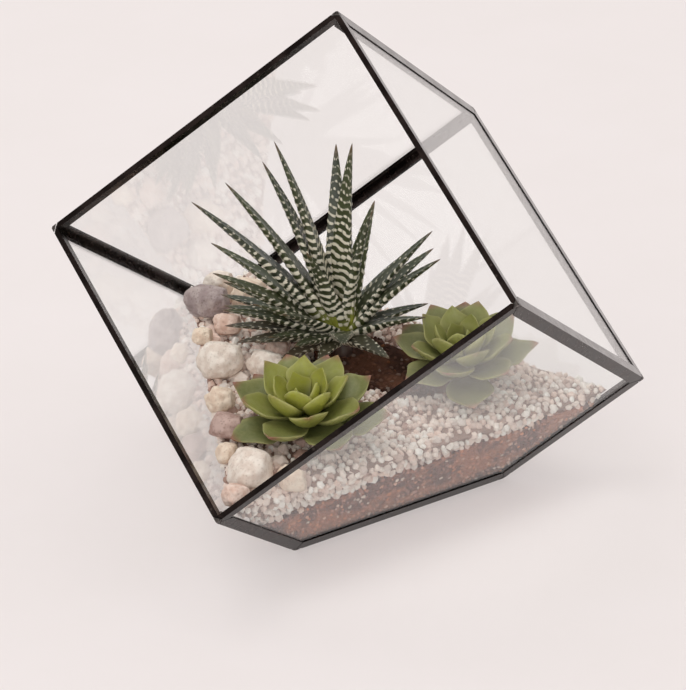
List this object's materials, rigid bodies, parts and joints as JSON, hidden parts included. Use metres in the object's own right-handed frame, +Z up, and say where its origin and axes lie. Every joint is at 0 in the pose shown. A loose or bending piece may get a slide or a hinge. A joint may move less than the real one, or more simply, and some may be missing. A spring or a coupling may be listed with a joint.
{
  "type": "glass plant terrarium",
  "caption": "Tilted glass cube in black metal came, open at the front, standing on its cut-off corner, with a haworthia and echeverias planted in soil, gravel and stones",
  "frame": {"origin": "centre of the triangular base, on the surface it stands on", "axes": "+Z up along the cube's long diagonal, -Y towards the open front, +X to the right seen from the front"},
  "size_m": [0.2122, 0.2444, 0.2161],
  "materials": {
    "came": "black patina, satin",
    "pane_glass": "clear sheet",
    "soil": "loose and matt",
    "gravel": "fine pale gravel",
    "haworthia_leaf": "fleshy leaf with white bands",
    "echeveria_leaf": "fleshy leaf, waxy",
    "grey_stone": "rounded",
    "pink_stone": "rounded",
    "white_stone": "rounded",
    "cream_stone": "rounded",
    "brown_stone": "rounded"
  },
  "bodies": {
    "root": {"corner_came_foot_front_to_foot_left": "came", "corner_came_foot_front_to_foot_right": "came", "corner_came_foot_left_to_low_left": "came", "corner_came_foot_right_to_foot_left": "came", "corner_came_foot_right_to_low_right": "came", "corner_came_lip_to_foot_front": "came", "corner_came_low_left_to_left": "came", "corner_came_low_right_to_rear": "came", "corner_came_rear_to_low_left": "came", "corner_came_rear_to_top": "came", "corner_came_right_to_low_right": "came", "echeveria_front": "echeveria_leaf", "echeveria_right": "echeveria_leaf", "gravel": "gravel", "haworthia": "haworthia_leaf", "pane_back": "pane_glass", "pane_base": "pane_glass", "pane_lower_left": "pane_glass", "pane_lower_right": "pane_glass", "pane_upper_left": "pane_glass", "pane_upper_right": "pane_glass", "rim_came_left_to_top": "came", "rim_came_lip_to_left": "came", "rim_came_right_to_lip": "came", "rim_came_top_to_right": "came", "soil": "soil", "solder_foot_front": "came", "solder_foot_left": "came", "solder_foot_right": "came", "solder_left": "came", "solder_lip": "came", "solder_low_left": "came", "solder_low_right": "came", "solder_rear": "came", "solder_right": "came", "solder_top": "came", "stone_beige": "cream_stone", "stone_brown": "brown_stone", "stone_cream": "cream_stone", "stone_cream_low": "cream_stone", "stone_far_left": "white_stone", "stone_grey": "grey_stone", "stone_lip_front": "pink_stone", "stone_lip_left": "cream_stone", "stone_lip_white": "white_stone", "stone_pink": "pink_stone", "stone_rose": "pink_stone", "stone_sand": "cream_stone", "stone_white_left": "white_stone", "stone_white_middle": "white_stone"}
  },
  "joints": []
}
